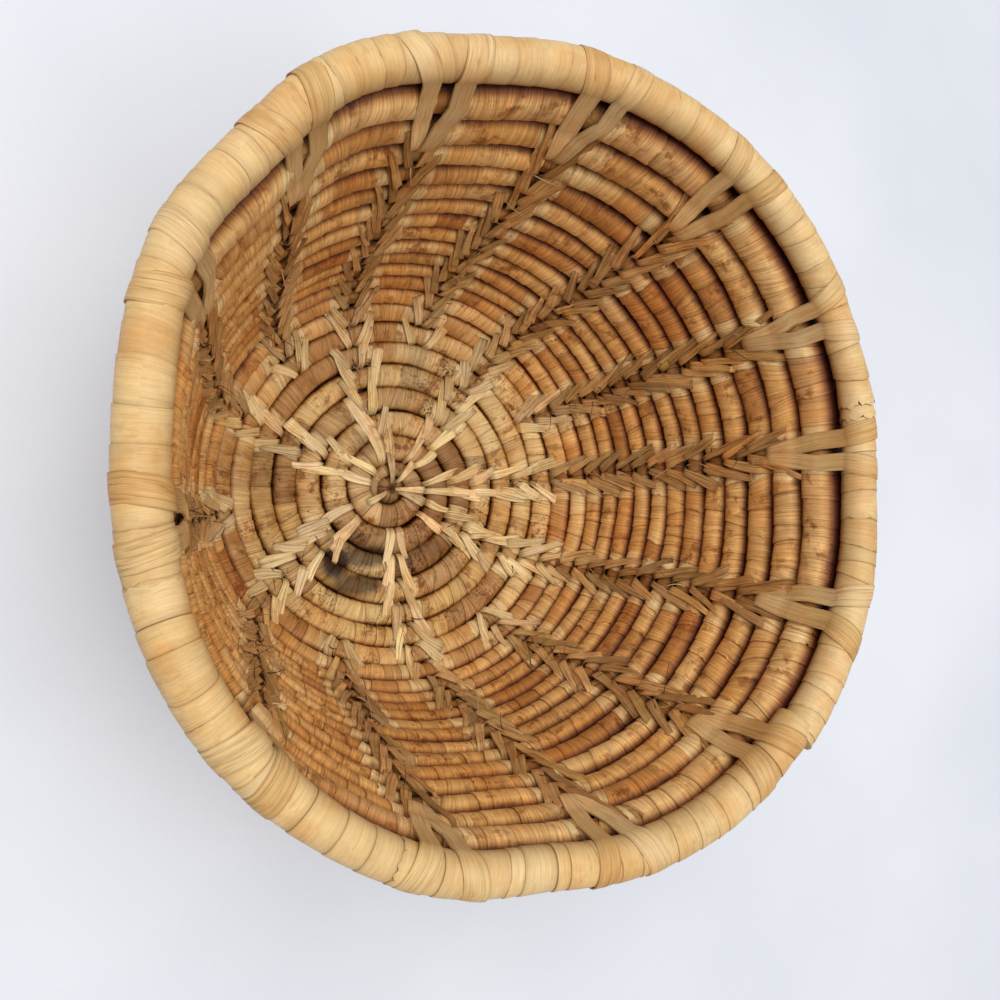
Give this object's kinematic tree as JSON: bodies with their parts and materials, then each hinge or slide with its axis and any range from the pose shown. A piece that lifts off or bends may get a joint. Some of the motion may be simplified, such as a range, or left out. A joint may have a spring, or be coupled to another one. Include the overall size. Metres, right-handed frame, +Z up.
{
  "type": "coiled basket",
  "caption": "Round coiled grass basket with a flat floor, flared wall, chains of split V stitches inside and a thick wrapped rim.",
  "frame": {"origin": "on the ground, at the middle of the start knot's flat underside", "axes": "+Z up, out of the basket's mouth; +X towards the wall to the right of the picture's view; azimuths run clockwise from +X seen from above"},
  "size_m": [0.1797, 0.1788, 0.125],
  "materials": {
    "floor_straw": "matt, dry straw with brown fibre",
    "turn_up_tan": "matt, tan to orange-brown fibre",
    "wall_golden": "matt, golden tan fibre",
    "rim_cream": "satin, pale cream strips",
    "splint_pale": "matt, pale split stem",
    "splint_brown": "matt, brown split stem"
  },
  "bodies": {
    "root": {"start_knot": "floor_straw", "base_coil": "floor_straw", "turn_up_coil": "turn_up_tan", "low_wall_coil": "turn_up_tan", "wall_coil": "wall_golden", "rim_coil": "rim_cream", "stitch_row_01": "splint_brown", "stitch_row_02": "splint_brown", "stitch_row_03": "splint_brown", "stitch_row_04": "splint_brown", "stitch_row_05": "splint_brown", "stitch_row_06": "splint_brown", "stitch_row_07": "splint_brown", "stitch_row_08": "splint_brown", "stitch_row_09": "splint_brown", "stitch_row_10": "splint_brown", "stitch_row_11": "splint_brown", "stitch_row_12": "splint_brown", "stitch_row_13": "splint_brown", "outer_stitch_row_01": "splint_brown", "outer_stitch_row_02": "splint_brown", "outer_stitch_row_03": "splint_brown", "outer_stitch_row_04": "splint_brown", "outer_stitch_row_05": "splint_brown", "outer_stitch_row_06": "splint_brown", "outer_stitch_row_07": "splint_brown", "outer_stitch_row_08": "splint_brown", "outer_stitch_row_09": "splint_brown", "outer_stitch_row_10": "splint_brown", "outer_stitch_row_11": "splint_brown", "outer_stitch_row_12": "splint_brown", "outer_stitch_row_13": "splint_brown", "rim_lashing_01": "splint_pale", "rim_lashing_02": "splint_pale", "rim_lashing_03": "splint_pale", "rim_lashing_04": "splint_pale", "rim_lashing_05": "splint_pale", "rim_lashing_06": "splint_pale", "rim_lashing_07": "splint_pale", "rim_lashing_08": "splint_pale", "rim_lashing_09": "splint_pale", "rim_lashing_10": "splint_pale", "rim_lashing_11": "splint_pale", "rim_lashing_12": "splint_pale", "rim_lashing_13": "splint_pale"}
  },
  "joints": []
}
